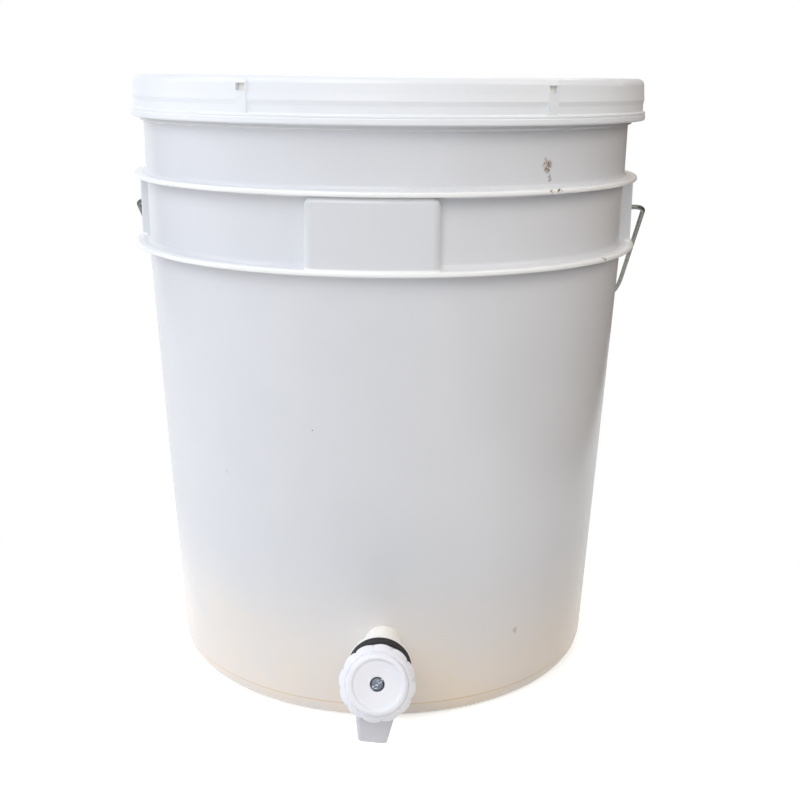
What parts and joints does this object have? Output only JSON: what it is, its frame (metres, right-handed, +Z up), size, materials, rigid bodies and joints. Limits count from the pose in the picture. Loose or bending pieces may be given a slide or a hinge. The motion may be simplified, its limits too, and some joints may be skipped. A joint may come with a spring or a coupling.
{
  "type": "bucket with tap",
  "caption": "White moulded pail with a press-on lid, a wire bail with a roller grip, and a screw-down tap low on the wall for drawing off liquid.",
  "frame": {"origin": "middle of the base, on the surface that the pail stands on", "axes": "+Z up along the pail's axis; the label pad faces -Y and the tap points within a few degrees of -Y; the bail pivots about X"},
  "size_m": [0.3212, 0.3698, 0.3633],
  "materials": {
    "pail_plastic": "moulded polyethylene, soft gloss",
    "lid_plastic": "moulded polyethylene, soft gloss",
    "tap_plastic": "moulded polypropylene, satin gloss",
    "spout_plastic": "moulded polypropylene, satin gloss, a little greyer",
    "connector_plastic": "moulded PVC, soft gloss, a little creamy",
    "acetal": "turned acetal",
    "grip_plastic": "moulded polyethylene, satin",
    "black_rubber": "moulded rubber, matt",
    "gasket_rubber": "pale foamed rubber",
    "galvanised_wire": "galvanised, dull",
    "screw_steel": "zinc plated, a little dulled"
  },
  "bodies": {
    "pail": {"pail_body": "pail_plastic", "tap_connector": "connector_plastic", "tap_body": "spout_plastic", "tap_inner_seal": "black_rubber", "tap_slip_washer": "acetal", "tap_back_nut": "tap_plastic", "tap_flange_ring": "black_rubber", "tap_bonnet": "tap_plastic", "bonnet_o_ring": "black_rubber", "spindle_o_ring": "black_rubber"},
    "lid": {"pail_lid": "lid_plastic", "lid_gasket": "gasket_rubber"},
    "bail": {"bail_wire": "galvanised_wire"},
    "grip": {"bail_grip": "grip_plastic"},
    "valve": {"valve_jumper": "acetal", "valve_washer": "black_rubber", "valve_screw": "screw_steel"},
    "knob": {"tap_spindle": "acetal", "tap_knob": "tap_plastic", "knob_screw": "screw_steel", "knob_spring_washer": "screw_steel"}
  },
  "joints": [
    {"name": "lid_lift", "type": "slide", "parent": "pail", "child": "lid", "axis": [0, 0, 1], "range_m": [0, 0.045]},
    {"name": "bail_swing", "type": "hinge", "parent": "pail", "child": "bail", "pos_m": [0, 0, 0.286], "axis": [1, 0, 0], "range_deg": [0, 251.3]},
    {"name": "grip_roll", "type": "hinge", "parent": "bail", "child": "grip", "pos_m": [0.002, 0.15088, 0.17638], "axis": [1, 0, 0], "continuous": true},
    {"name": "valve_lift", "type": "slide", "parent": "pail", "child": "valve", "axis": [0.0236, -0.9398, 0.341], "range_m": [0, 0.00455]},
    {"name": "knob_turn", "type": "hinge", "parent": "valve", "child": "knob", "pos_m": [0.00669, -0.2023, 0.06139], "axis": [0.0236, -0.9398, 0.341], "range_deg": [0, 540]}
  ],
  "couplings": [
    {"joint": "valve_lift", "follows": "knob_turn", "m_per_rad": 0.00047746}
  ]
}
